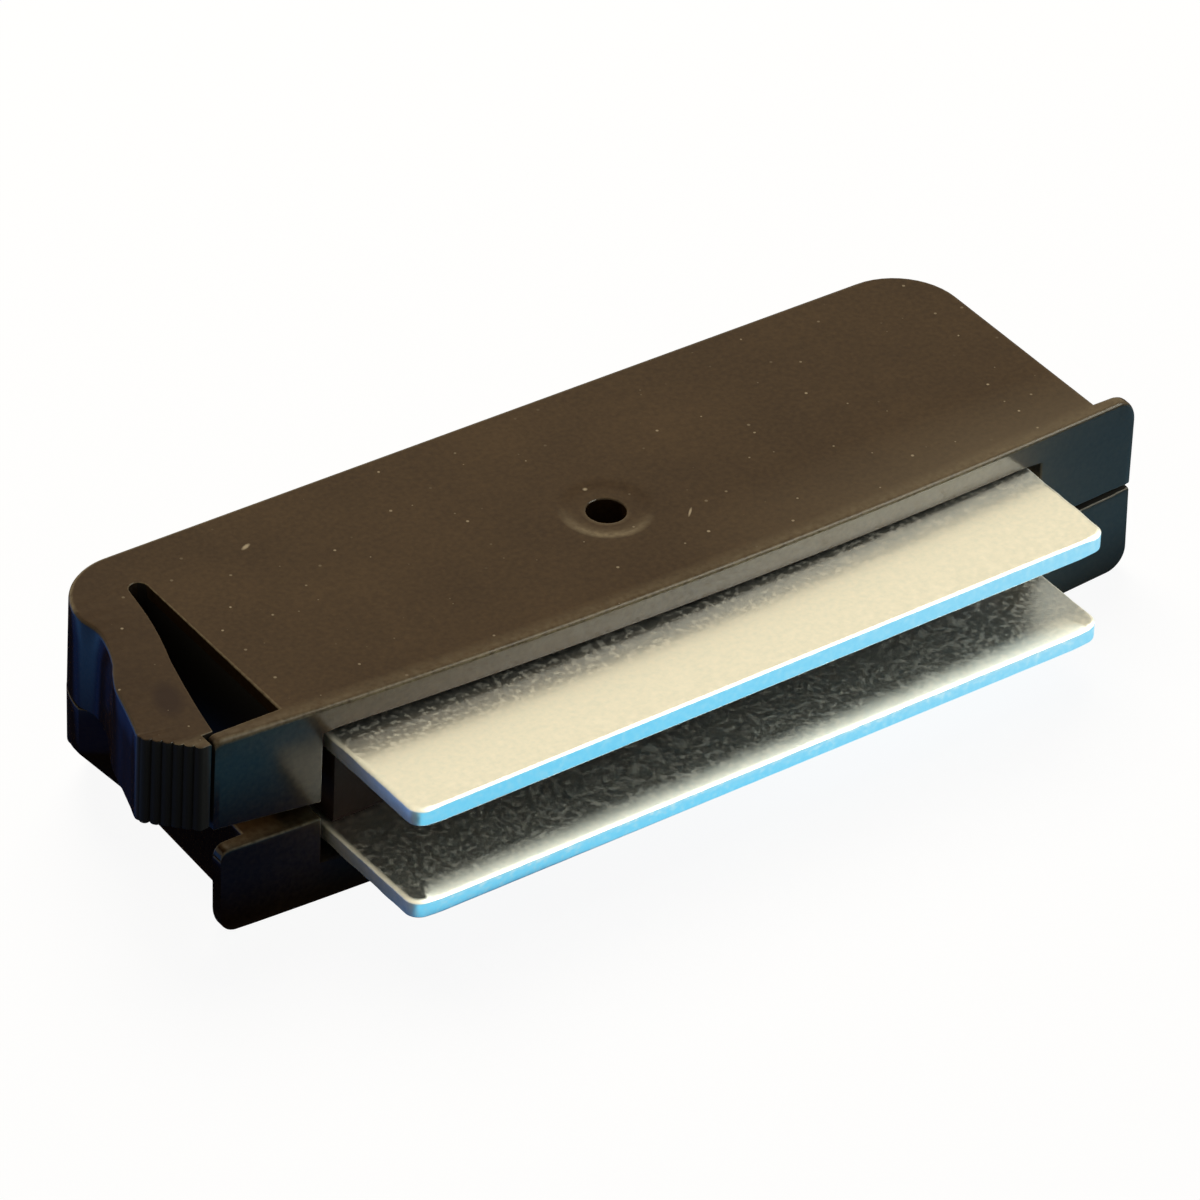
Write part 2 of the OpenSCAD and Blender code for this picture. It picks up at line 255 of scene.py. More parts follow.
def mouldedNylon():
    look = nylonLook
    material, tree = newMaterial("mouldedBrownNylon")
    place = addNode(tree, "ShaderNodeTexCoord", {}, {}).outputs["Object"]
    spot = addNode(tree, "ShaderNodeSeparateXYZ", {}, {0: place})
    zones = {name: zone(tree, spot, limits) for name, limits in look["zones"].items()}
    facing = addNode(tree, "ShaderNodeNewGeometry", {}, {})
    upward = addNode(tree, "ShaderNodeSeparateXYZ", {}, {0: facing.outputs["Normal"]})
    onTop = addNode(tree, "ShaderNodeMapRange", {"From Min": 0.8, "From Max": 0.95}, {0: upward.outputs[2]})
    upright = addNode(tree, "ShaderNodeMapRange", {"From Min": 0.6, "From Max": 0.3}, {0: upward.outputs[2]})
    # the moulding's own cloudy brown
    cloud = addNode(tree, "ShaderNodeTexNoise", {"Scale": 1 / (look["cloudMm"] * mm), "Detail": 8.0, "Roughness": 0.6},
                    {"Vector": place})
    grain = addNode(tree, "ShaderNodeTexNoise", {"Scale": 1 / (look["grainMm"] * mm), "Detail": 3.0}, {"Vector": place})
    uneven = addNode(tree, "ShaderNodeMath", {"operation": "ADD"}, {0: cloud.outputs[0], 1: grain.outputs[0]})
    tone = addNode(tree, "ShaderNodeMapRange", {"From Min": 0.7, "From Max": 1.3}, {0: uneven.outputs[0]})
    plain = addNode(tree, "ShaderNodeMix", {"data_type": "RGBA", 6: toLinear(look["deep"]), 7: toLinear(look["light"])},
                    {0: tone.outputs[0]})
    # the arm's top is painted darker and a sink mark on it is a dark patch, both painted shade; the front right corner
    # is dulled by handling
    armShade = addNode(tree, "ShaderNodeMath", {"operation": "MAXIMUM"},
                   {0: zones["arm"].outputs[0], 1: mark(tree, place, look["armShade"]).outputs[0]})
    armShaded = addNode(tree, "ShaderNodeMix", {"data_type": "RGBA", 7: toLinear(look["shaded"])},
                     {0: armShade.outputs[0], 6: plain.outputs[2]})
    haze = addNode(tree, "ShaderNodeMath", {"operation": "MULTIPLY"},
                   {0: zones["right"].outputs[0], 1: zones["front"].outputs[0]})
    base = addNode(tree, "ShaderNodeMix", {"data_type": "RGBA", 7: toLinear(look["dust"])},
                   {0: haze.outputs[0], 6: armShaded.outputs[2]})
    # pale edges, partly wear and partly painted highlight, broken up by small nicks, and a scuffed strip behind the
    # bowed front edge
    edgeMark = addNode(tree, "ShaderNodeAttribute", {"attribute_name": "edgeMark"}, {})
    nicks = addNode(tree, "ShaderNodeTexNoise", {"Scale": 1 / (look["nickMm"] * mm), "Detail": 4.0}, {"Vector": place})
    broken = addNode(tree, "ShaderNodeMapRange", {"From Min": 0.3, "From Max": 0.65, "To Min": 0.35},
                     {0: nicks.outputs[0]})
    wearAndHighlight = addNode(tree, "ShaderNodeMath", {"operation": "MULTIPLY"}, {0: edgeMark.outputs["Fac"], 1: broken.outputs[0]})
    square = addNode(tree, "ShaderNodeMath", {"operation": "MULTIPLY"}, {0: spot.outputs[0], 1: spot.outputs[0]})
    bow = addNode(tree, "ShaderNodeMath", {"operation": "MULTIPLY_ADD", 1: -1 / (look["bowMm"] * mm)},
                  {0: square.outputs[0], 2: spot.outputs[1]})
    behind = addNode(tree, "ShaderNodeMapRange",
                     {"From Min": look["scuffFrom"] * mm, "From Max": look["scuffTo"] * mm, "To Max": look["scuff"]},
                     {0: bow.outputs[0]})
    frayed = addNode(tree, "ShaderNodeMath", {"operation": "MULTIPLY"}, {0: behind.outputs[0], 1: onTop.outputs[0]})
    scuffed = addNode(tree, "ShaderNodeMath", {"operation": "MULTIPLY"}, {0: frayed.outputs[0], 1: broken.outputs[0]})
    paler = addNode(tree, "ShaderNodeMath", {"operation": "MAXIMUM"}, {0: wearAndHighlight.outputs[0], 1: scuffed.outputs[0]})
    edged = addNode(tree, "ShaderNodeMix", {"data_type": "RGBA", 7: toLinear(look["wearAndHighlight"])},
                    {0: paler.outputs[0], 6: base.outputs[2]})
    # dust and a few flakes lie only where the face looks up
    specks = dustLayer(tree, place, look["dustGapMm"], look["dustLargest"], look["dustShare"])
    for flake in look["flakes"]:
        specks = addNode(tree, "ShaderNodeMath", {"operation": "MAXIMUM"},
                         {0: specks.outputs[0], 1: mark(tree, place, flake).outputs[0]})
    strength = addNode(tree, "ShaderNodeMath", {"operation": "MULTIPLY"}, {0: specks.outputs[0], 1: onTop.outputs[0]})
    colour = addNode(tree, "ShaderNodeMix", {"data_type": "RGBA", 7: toLinear(look["dust"])},
                     {0: strength.outputs[0], 6: edged.outputs[2]})
    # narrow recesses, the plain end's parting, the ribs and the slot's wall are painted near black as painted shade,
    # and lose their shine
    openness = addNode(tree, "ShaderNodeAmbientOcclusion", {"samples": 6, "Distance": look["recessMm"] * mm}, {})
    shadeMask = addNode(tree, "ShaderNodeMapRange", {"From Min": 0.85, "From Max": 0.42}, {0: openness.outputs["AO"]})
    slotWall = addNode(tree, "ShaderNodeMath",
                       {"operation": "COMPARE", 1: look["slotWallX"] * mm, 2: look["slotWallReach"] * mm},
                       {0: spot.outputs[0]})
    for first, second, third in ((zones["parting"], zones["plainSide"], onTop), (slotWall, zones["inSlot"], upright),
                                 (zones["nose"], zones["armSide"], upright)):
        pair = addNode(tree, "ShaderNodeMath", {"operation": "MULTIPLY"}, {0: first.outputs[0], 1: second.outputs[0]})
        shadeZone = addNode(tree, "ShaderNodeMath", {"operation": "MULTIPLY"}, {0: pair.outputs[0], 1: third.outputs[0]})
        shadeMask = addNode(tree, "ShaderNodeMath", {"operation": "MAXIMUM"}, {0: shadeMask.outputs[0], 1: shadeZone.outputs[0]})
    withShade = addNode(tree, "ShaderNodeMix", {"data_type": "RGBA", 7: toLinear(look["paintedShade"])},
                    {0: shadeMask.outputs[0], 6: colour.outputs[2]})
    # satin on top, glossier on the sides, dull where it is rubbed or in painted shade
    gloss = addNode(tree, "ShaderNodeMapRange", {"To Min": look["polished"], "To Max": look["satin"]},
                    {0: onTop.outputs[0]})
    abraded = addNode(tree, "ShaderNodeMath", {"operation": "MULTIPLY", 1: look["abraded"]}, {0: wearAndHighlight.outputs[0]})
    dulled = addNode(tree, "ShaderNodeMath", {"operation": "MAXIMUM"}, {0: shadeMask.outputs[0], 1: abraded.outputs[0]})
    matt = addNode(tree, "ShaderNodeMix", {"data_type": "FLOAT", 3: look["matt"]},
                   {0: dulled.outputs[0], 2: gloss.outputs[0]})
    wave = addNode(tree, "ShaderNodeTexNoise", {"Scale": 1 / (look["waveMm"] * mm), "Detail": 2.0}, {"Vector": place})
    ripple = addNode(tree, "ShaderNodeBump", {"Strength": 0.25, "Distance": 0.02 * mm}, {"Height": wave.outputs[0]})
    bump = addNode(tree, "ShaderNodeBump", {"Strength": 0.18, "Distance": 0.01 * mm},
                   {"Height": grain.outputs[0], "Normal": ripple.outputs[0]})
    shader = addNode(tree, "ShaderNodeBsdfPrincipled", {"IOR": 1.5, "Specular IOR Level": look["specular"]},
                     {"Base Color": withShade.outputs[2], "Roughness": matt.outputs[0], "Normal": bump.outputs[0]})
    addNode(tree, "ShaderNodeOutputMaterial", {}, {0: shader.outputs[0]})
    return material


# bright zinc on cold-rolled steel strip: warm silver, faintly mottled, with fine rolling lines along the strip
zincLook = {"bright": "#fbf8f2", "dull": "#dde5e5", "smooth": 0.28, "rough": 0.42, "sheared": 0.46, "rolled": 0.58,
            "mottleMm": 0.32, "grainMm": 0.6, "lineMm": 0.12, "lineStretch": 0.03}


def zincPlatedSteel():
    look = zincLook
    material, tree = newMaterial("zincPlatedSteel")
    place = addNode(tree, "ShaderNodeTexCoord", {}, {}).outputs["Object"]
    mottle = addNode(tree, "ShaderNodeTexNoise", {"Scale": 1 / (look["mottleMm"] * mm), "Detail": 3.0},
                     {"Vector": place})
    colour = addNode(tree, "ShaderNodeMix",
                     {"data_type": "RGBA", 6: toLinear(look["dull"]), 7: toLinear(look["bright"])},
                     {0: mottle.outputs[0]})
    stretch = addNode(tree, "ShaderNodeMapping", {"Scale": (look["lineStretch"], 1.0, 1.0)}, {"Vector": place})
    lines = addNode(tree, "ShaderNodeTexNoise", {"Scale": 1 / (look["lineMm"] * mm), "Detail": 2.0},
                    {"Vector": stretch.outputs[0]})
    gloss = addNode(tree, "ShaderNodeMapRange",
                    {"From Min": 0.5, "From Max": 0.63, "To Min": look["smooth"], "To Max": look["rough"]},
                    {0: mottle.outputs[0]})
    # the left ends are sheared and the front edges rolled, and both scatter more light than the faces
    facing = addNode(tree, "ShaderNodeNewGeometry", {}, {})
    endways = addNode(tree, "ShaderNodeSeparateXYZ", {}, {0: facing.outputs["Normal"]})
    sheared = addNode(tree, "ShaderNodeMapRange", {"From Min": -0.5, "From Max": -0.85}, {0: endways.outputs[0]})
    ends = addNode(tree, "ShaderNodeMix", {"data_type": "FLOAT", 3: look["sheared"]},
                   {0: sheared.outputs[0], 2: gloss.outputs[0]})
    edgeMark = addNode(tree, "ShaderNodeAttribute", {"attribute_name": "edgeMark"}, {})
    scatter = addNode(tree, "ShaderNodeMix", {"data_type": "FLOAT", 3: look["rolled"]},
                      {0: edgeMark.outputs["Fac"], 2: ends.outputs[0]})
    grain = addNode(tree, "ShaderNodeTexNoise", {"Scale": 1 / (look["grainMm"] * mm), "Detail": 1.5}, {"Vector": place})
    blotch = addNode(tree, "ShaderNodeBump", {"Strength": 0.2, "Distance": 0.03 * mm}, {"Height": grain.outputs[0]})
    bump = addNode(tree, "ShaderNodeBump", {"Strength": 0.08, "Distance": 0.01 * mm},
                   {"Height": lines.outputs[0], "Normal": blotch.outputs[0]})
    shader = addNode(tree, "ShaderNodeBsdfPrincipled", {"Metallic": 1.0},
                     {"Base Color": colour.outputs[2], "Roughness": scatter.outputs[0], "Normal": bump.outputs[0]})
    addNode(tree, "ShaderNodeOutputMaterial", {}, {0: shader.outputs[0]})
    return material


# sintered ferrite: dull dark red-brown with a gritty face
ferriteLook = {"dark": "#0e0807", "rust": "#24120c", "roughness": 0.7, "specular": 0.2, "gritMm": 0.25, "patchMm": 2.5}


def sinteredFerrite():
    look = ferriteLook
    material, tree = newMaterial("sinteredFerrite")
    place = addNode(tree, "ShaderNodeTexCoord", {}, {}).outputs["Object"]
    grit = addNode(tree, "ShaderNodeTexNoise", {"Scale": 1 / (look["gritMm"] * mm), "Detail": 5.0}, {"Vector": place})
    patch = addNode(tree, "ShaderNodeTexNoise", {"Scale": 1 / (look["patchMm"] * mm), "Detail": 3.0}, {"Vector": place})
    colour = addNode(tree, "ShaderNodeMix", {"data_type": "RGBA", 6: toLinear(look["dark"]), 7: toLinear(look["rust"])},
                     {0: patch.outputs[0]})
    bump = addNode(tree, "ShaderNodeBump", {"Strength": 0.5, "Distance": 0.04 * mm}, {"Height": grit.outputs[0]})
    shader = addNode(tree, "ShaderNodeBsdfPrincipled",
                     {"Roughness": look["roughness"], "Specular IOR Level": look["specular"]},
                     {"Base Color": colour.outputs[2], "Normal": bump.outputs[0]})
    addNode(tree, "ShaderNodeOutputMaterial", {}, {0: shader.outputs[0]})
    return material


nylon, zinc, ferrite = mouldedNylon(), zincPlatedSteel(), sinteredFerrite()
print("materials made")


# casing: both halves share the flange, the side walls and the chamber; lengths in mm

casing = {"flangeHalf": 30.0, "flangeThick": 0.8, "crown": 1.1, "cornerRound": 1.2, "behind": 0.05, "earX": 24,
          "half": 27.7, "depth": 16.1, "lean": 2.0, "rearRound": 4.0,
          "chamberHalf": 23.4, "chamberBack": 14.6, "riseY": 8.6, "riseWidth": 0.02, "windowRound": 0.15,
          "lipRound": 0.14, "lipFade": 0.3, "postX": -0.7, "postY": 5.725, "postRadius": 2.3}
arm = {"slotX": -25.52, "slotTip": 1.1, "slotBack": 13.27, "mouthX": -29.6, "bulge": 0.2, "waist": 0.06,
       "rootX": -30.2, "swell": 2.95, "steer": 0.8,
       "flank": [(-30.0, 10.7), (-30.26, 9.4), (-30.78, 8.1), (-31.32, 7.2), (-31.9, 6.0), (-32.4, 4.3), (-32.83, 2.9)],
       "noseY": 1.9, "noseRound": 0.35, "noseTurn": 222, "shoulderRound": 4.1,
       "tipX": -30.25, "tipWidth": 0.4, "tipGap": 0.12,
       "ribs": 6, "ribDepth": 0.17, "ribShape": 0.6, "ribSteps": 60, "lift": 0.3, "liftRun": 4}
crownRadius = (casing["flangeHalf"] ** 2 + casing["crown"] ** 2) / (2 * casing["crown"])
earLength = casing["flangeHalf"] - casing["earX"]
post = (casing["postX"], casing["postY"])
boss = circle(post, casing["postRadius"])


def frontY(x):
    return crownRadius - casing["flangeThick"] - casing["crown"] - sqrt(crownRadius ** 2 - x ** 2)


def onFront(p):
    return p.y < 0.1 - casing["flangeThick"]


def endSteps():
    # positions along one flange end, close together where the corner turns
    flat = casing["flangeHalf"] - casing["cornerRound"]
    return [flat + casing["cornerRound"] * sin(radians(9 * i)) for i in range(11)]


def frontLine():
    ends = endSteps()
    edge = casing["chamberHalf"] + casing["windowRound"]
    middle = [-edge + 2 * edge * i / 40 for i in range(41)]
    between = [edge + (ends[0] - edge) * i / 4 for i in range(1, 4)]
    xs = [-x for x in reversed(ends)] + [-x for x in reversed(between)] + middle + between + ends
    return [Vector((x, frontY(x))) for x in xs]


def plainEnd():
    # right-hand end, from the flange round to the back
    lean = radians(casing["lean"])
    centreY = casing["depth"] - casing["rearRound"]
    centreX = casing["half"] - centreY * tan(lean) - casing["rearRound"] / cos(lean)
    ear = [Vector((x, 0)) for x in reversed(endSteps())]
    heights = (0, casing["riseY"] - casing["riseWidth"], casing["riseY"] + casing["riseWidth"])
    side = [Vector((casing["half"] - y * tan(lean), y)) for y in heights]
    return ear + side + arc((centreX, centreY), casing["rearRound"], casing["lean"], 90, 12)


def shoulder():
    centre = (arm["rootX"] + arm["shoulderRound"], casing["depth"] - arm["shoulderRound"])
    return arc(centre, arm["shoulderRound"], 90, 180, 30)


def springArm():
    # flank, nose, ribbed face and tip, then round the wedge slot and back along the ear
    shoulderY = casing["depth"] - arm["shoulderRound"]
    noseX = arm["rootX"] - arm["swell"]
    stations = ([(arm["rootX"], shoulderY + arm["steer"]), (arm["rootX"], shoulderY)] + arm["flank"]
                + [(noseX, arm["noseY"]), (noseX, arm["noseY"] - arm["steer"])])
    flank = curve([Vector(q) for q in stations], 8)[1:]
    nose = arc((noseX + arm["noseRound"], arm["noseY"]), arm["noseRound"], 180, arm["noseTurn"], 4)
    start, end = nose[-1], Vector((arm["tipX"] - arm["tipWidth"], -casing["flangeThick"]))
    along = (end - start).normalized()
    outward = Vector((along.y, -along.x))
    steps = arm["ribSteps"]
    ribbed = [start + (end - start) * i / steps
              + outward * arm["ribDepth"] * abs(sin(pi * arm["ribs"] * i / steps)) ** arm["ribShape"]
              for i in range(1, steps)]
    tip = [end, Vector((arm["tipX"], -casing["flangeThick"])), Vector((arm["tipX"], arm["tipGap"]))]
    tipY = arm["slotBack"] - arm["slotTip"] / 2
    mouthTop = Vector((arm["slotX"] - arm["slotTip"], tipY))
    mouth = Vector((arm["mouthX"], 0)).lerp(mouthTop, arm["tipGap"] / tipY)
    bends = [sin(2 * pi * (i / 12 - 0.5)) for i in range(12)]
    inner = [mouth.lerp(mouthTop, i / 12) + Vector((b * (arm["bulge"] if b > 0 else arm["waist"]), 0))
             for i, b in enumerate(bends)]
    slotEnd = arc((arm["slotX"] - arm["slotTip"] / 2, tipY), arm["slotTip"] / 2, 180, 0, 8)
    ear = [Vector((arm["slotX"], 0))] + [Vector((-x, 0)) for x in endSteps()]
    return flank + nose + ribbed + tip + inner + slotEnd + ear


def plainShoulder():
    # lower half: a web leads from the shoulder in to the side wall
    lean = tan(radians(casing["lean"]))
    shoulderY = casing["depth"] - arm["shoulderRound"]
    drop = (-arm["rootX"] - casing["half"] + shoulderY * lean) / (1 + lean)
    web = Vector((arm["rootX"] + drop, shoulderY - drop))
    heights = (casing["riseY"] + casing["riseWidth"], casing["riseY"] - casing["riseWidth"])
    low = [Vector((y * lean - casing["half"], y)) for y in heights]
    side = [low[-1].lerp(Vector((-casing["half"], 0)), i / 8) for i in range(1, 9)]
    return [web] + low + side + [Vector((-x, 0)) for x in endSteps()]


def windowPath():
    # chamber seen from above, from the window's left edge round to its right edge
    half, turn = casing["chamberHalf"], casing["windowRound"]
    y = frontY(half + turn)
    left = arc((-half - turn, y + turn), turn, -90, 0, 4)
    right = arc((half + turn, y + turn), turn, 180, 270, 4)
    near, far = casing["riseY"] - casing["riseWidth"], casing["riseY"] + casing["riseWidth"]
    back = casing["chamberBack"]
    walls = [(-half, near), (-half, far), (-half, back), (half, back), (half, far), (half, near)]
    return left + [Vector(w) for w in walls] + right


def partingWear(p):
    # the parting edge is palest on the plain ear, then on the arm's ear and nose
    if p.x < 20:
        reach = 2.2 if p.x < -29.9 else casing["behind"]
        return 0.8 if p.y < reach else 0.3
    return 0.3 if p.y > casing["behind"] else 1.0


def halfShell(outline, height, window, corners, outerRound, partingRound, wearAndHighlight, rows, stepped):
    # heights run from the parting face (0) to the outer face (height); the window's edge lies at window
    mesh = {"points": [], "faces": [], "edgeMark": {}}
    edge = casing["chamberHalf"] + casing["windowRound"]
    front = [i for i, p in enumerate(outline) if onFront(p) and abs(p.x) <= edge + 1e-6]
    path = windowPath()
    openLoop = outline[:front[0]] + path + outline[front[-1] + 1:]
    openFront = len(frontLine()) - len(front) + len(path)

    def cornerDrop(p):
        turn = corners[0] if p.x < 0 else corners[1]
        over = abs(p.x) - (casing["flangeHalf"] - turn)
        if p.y > casing["behind"] or over <= 0 or abs(p.x) > casing["flangeHalf"] + 1e-4:
            return 0
        return turn - sqrt(max(turn ** 2 - over ** 2, 0))

    def outerRing(turn):
        radii = [outerRound(p) for p in outline]
        ring = inset(outline, [r * (1 - cos(turn)) for r in radii])
        return [Vector((p.x, p.y, height - cornerDrop(p) - r * (1 - sin(turn)))) for p, r in zip(ring, radii)]

    def partingRing(turn):
        radii = [partingRound(p)[0] for p in openLoop]
        ring = inset(openLoop, [r * (1 - cos(turn)) for r in radii])
        return [Vector((p.x, p.y, partingRound(q)[1] + r * (1 - sin(turn)))) for p, q, r in zip(ring, openLoop, radii)]

    # outer face, its rounded rim and the wall down to the window's level
    turns = [radians(90 * i / 4) for i in range(5)]
    rims = [outerRing(t) for t in turns]
    lip = [casing["lipRound"] * min(1, (edge - abs(p.x)) / casing["lipFade"]) if front[0] <= i <= front[-1] else 0
           for i, p in enumerate(outline)]
    base = [Vector((p.x, p.y, window + l)) for p, l in zip(outline, lip)]
    wall(mesh, base, rims[0], rows)
    chain(mesh, rims)
    # the rounded rim is painted pale, partly wear and partly painted highlight
    for ring, share in zip(rims, (0.12, 1.0, 1.0, 0.6, 0.0)):
        markEdge(mesh, ring, [share * wearAndHighlight(p) for p in outline])
    # parting face and the walls up to the window's level
    partings = [partingRing(t) for t in turns]
    wall(mesh, partings[0], level(openLoop, window), rows)
    chain(mesh, partings)
    if stepped:
        nearStep = 1.5 * casing["riseWidth"]
        steps = [i for i, p in enumerate(openLoop) if abs(p.y - casing["riseY"]) < nearStep]
        steppedCap(mesh, partings[-1], openFront, steps)
    else:
        earedCap(mesh, partings[-1], openFront)
    for ring, share in zip(partings, (0.0, 0.7, 1.0, 0.6, 0.0)):
        markEdge(mesh, ring, [share * partingWear(p) for p in openLoop])
    # ceiling of the chamber with its eased front lip and the post's boss
    lipRing = base[front[0]:front[-1] + 1]
    eased = [Vector((p.x, p.y + l, window)) for p, l in zip(lipRing, lip[front[0]:])]
    strip(mesh, lipRing, eased, closed=False)
    cap(mesh, eased + level(path[-2:0:-1], window), [level(boss, window)])
    strip(mesh, level(boss, window), level(boss, 0))
    return mesh, rims[-1]


# upper half: gapes open towards the spring arm, as a worn catch does; the dish and its pale marks run from outside in,
# painted highlight in the dish and partly wear on the socket's rim
upperHalf = {"height": 5.8116, "window": 4.1116, "partingZ": 5.7, "gape": 1.5, "armCorner": 0.4, "socket": 1.1,
             "rim": 0.26, "armRim": 0.16, "earRim": 0.16, "fineRim": 0.07, "partingRim": 0.12, "earDrop": 0.45,
             "flash": 0.05, "flashScale": 2.3,
             "dish": [(3.1, 0), (2.75, 0), (2.5, 0.02), (2.25, 0.08), (1.9, 0.11), (1.45, 0.11)], "rimTurn": 0.12,
             "dishHighlightAndWear": (0.0, 0.55, 0.7, 0.2, 0.0, 0.2, 0.4, 0.3, 0.1), "highlightSide": (-0.58, -0.81)}


def upperShell():
    outline = frontLine() + plainEnd() + shoulder() + springArm()

    def outerRound(p):
        onRibs = p.x < arm["tipX"] + 0.01 and p.y < arm["noseY"] + 0.1
        onSlot = (arm["mouthX"] - 0.02 < p.x < arm["slotX"] + 0.02
                  and casing["behind"] < p.y < arm["slotBack"] + 0.1)
        if onRibs or onSlot:
            return upperHalf["fineRim"]
        if abs(p.y) < 1e-6 and p.x < arm["slotX"] + 0.02:
            return upperHalf["earRim"]
        if onFront(p):
            return upperHalf["rim"] + upperHalf["armRim"] * max(0, (-casing["earX"] - p.x) / earLength)
        return upperHalf["rim"]

    def partingRound(p):
        flash = upperHalf["flash"] * unevenness(p, upperHalf["flashScale"], 1.7)
        if p.x < arm["slotX"] - 0.05 and (p.y > casing["behind"] or p.x < arm["tipX"] + 0.01):
            share = min(1, max(0, (casing["depth"] - arm["shoulderRound"] - p.y) / arm["liftRun"]))
            return upperHalf["fineRim"], arm["lift"] * share + flash
        drop = 0
        if p.y < casing["behind"] and p.x < -casing["chamberHalf"]:       # the arm's ear hangs lower at the window
            earSpan = casing["flangeHalf"] - casing["chamberHalf"]
            drop = upperHalf["earDrop"] * (p.x + casing["flangeHalf"]) / earSpan
        return upperHalf["partingRim"], flash - drop

    # pale edge marks: wear, and painted highlight along the front lip
    def wearAndHighlight(p):
        if onFront(p) and abs(p.x) < casing["flangeHalf"] + 0.01:
            return 1.0 - 0.5 * max(0, (p.x - casing["earX"]) / earLength)
        if p.x < arm["slotX"] + 0.05:
            return 0.8 if p.y < 0.3 or p.y > arm["slotBack"] - 0.6 else 0.05
        return 0.1

    corners = (upperHalf["armCorner"], casing["cornerRound"])
    top, socket, turn = upperHalf["height"], upperHalf["socket"], upperHalf["rimTurn"]
    mesh, rim = halfShell(outline, top, upperHalf["window"], corners, outerRound, partingRound, wearAndHighlight, 1, False)
    # the dish, the socket's rounded rim and the socket down to the post's end
    rings = [level(circle(post, radius), top - drop) for radius, drop in upperHalf["dish"]]
    dishRings, low = len(rings), upperHalf["dish"][-1][1]
    for i in range(4):
        a = radians(30 * i)
        rings.append(level(circle(post, socket + turn * (1 - sin(a))), top - low - turn * (1 - cos(a))))
    rings += [level(circle(post, socket), 0), level(boss, 0)]
    chain(mesh, rings)
    # the dish's pale arcs on its front left side are painted highlight; the socket's rim is worn pale there too
    towards = Vector(upperHalf["highlightSide"])
    for i, amount in enumerate(upperHalf["dishHighlightAndWear"], 1):
        shares = [max(0, (p.xy - Vector(post)).normalized().dot(towards)) for p in rings[i]]
        markEdge(mesh, rings[i], [amount * (share if i < dishRings else 0.35 + 0.65 * share) for share in shares])
    earedCap(mesh, rim, len(frontLine()), [rings[0]])
    hinge = Matrix.Translation((casing["flangeHalf"], 0, upperHalf["partingZ"]))
    gape = Matrix.Rotation(radians(upperHalf["gape"]), 4, "Y")
    place = hinge @ gape @ Matrix.Translation((-casing["flangeHalf"], 0, 0))
    makePiece("upperShell", mesh, place, nylon, "casing", "upper_shell")


# lower half: lies flat, its shoulder bevelled underneath; built upside down, then turned over
lowerHalf = {"height": 5.2, "window": 2.6, "rearGap": 0.1, "rim": 0.22, "rearRim": 0.1, "partingRim": 0.14,
             "flash": 0.03, "flashScale": 2.1, "bevelRise": 3.6, "bevelRun": 2.8, "bevelIn": 0.3,
             "pegRadius": 1.12, "pegHeight": 3.4, "pegBevel": 0.2, "innerCorner": 0.7, "plainLift": 0.2,
             "armLift": 0.4, "earShort": 0.5, "wearAndHighlight": 0.1}


def lowerShell():
    outline = frontLine() + plainEnd() + shoulder() + plainShoulder()

    def partingRound(p):
        if p.y > casing["riseY"]:
            rise = (casing["flangeHalf"] - p.x) * tan(radians(upperHalf["gape"]))
            return lowerHalf["rearRim"], lowerHalf["height"] - upperHalf["partingZ"] - rise + lowerHalf["rearGap"]
        turn = lowerHalf["innerCorner"]
        over = -p.x - (casing["flangeHalf"] - turn)       # only at the spring arm's end
        drop = turn - sqrt(max(turn ** 2 - over ** 2, 0)) if p.y < casing["behind"] and over > 0 else 0
        plainLift = lowerHalf["plainLift"] * min(1, max(0, p.x - casing["chamberHalf"]))
        drop -= lowerHalf["armLift"] if p.x < 0 else plainLift
        return lowerHalf["partingRim"], drop + lowerHalf["flash"] * unevenness(p, lowerHalf["flashScale"], 6.3)

    corners = (casing["cornerRound"], casing["cornerRound"])
    mesh, rim = halfShell(outline, lowerHalf["height"], lowerHalf["window"], corners, lambda p: lowerHalf["rim"],
                          partingRound, lambda p: lowerHalf["wearAndHighlight"], 12, True)
    earedCap(mesh, rim, len(frontLine()))
    peg, tall, bevel = lowerHalf["pegRadius"], lowerHalf["pegHeight"], lowerHalf["pegBevel"]
    rings = [level(boss, 0), level(circle(post, peg), 0), level(circle(post, peg), bevel - tall),
             level(circle(post, peg - bevel), -tall)]
    chain(mesh, rings)
    cap(mesh, rings[-1])
    lean = tan(radians(casing["lean"]))

    def turnedOver(p):
        # the arm's ear ends a little sooner, and beside the shoulder nothing stands outside a plane that rises outwards
        z = lowerHalf["height"] - p.z
        plane = p.y * lean - casing["half"] + lowerHalf["bevelIn"] - lowerHalf["bevelRun"] * z / lowerHalf["bevelRise"]
        end = max(0, (-p.x - casing["half"]) / (casing["flangeHalf"] - casing["half"]))
        onSide = p.x < -20 and p.y > 0.02
        return Vector((max(p.x, plane) if onSide else p.x + lowerHalf["earShort"] * end, p.y, z))

    edgeMark = mesh["edgeMark"]
    mesh["edgeMark"] = {placeKey(turnedOver(p)): edgeMark[placeKey(p)] for p in mesh["points"] if placeKey(p) in edgeMark}
    mesh["points"] = [turnedOver(p) for p in mesh["points"]]
    makePiece("lowerShell", mesh, Matrix(), nylon, "casing", "lower_shell")


upperShell()
lowerShell()
print("casing built")


# magnet pack: two sheared steel plates with a ferrite block between them; an edge's reach inwards, then its height

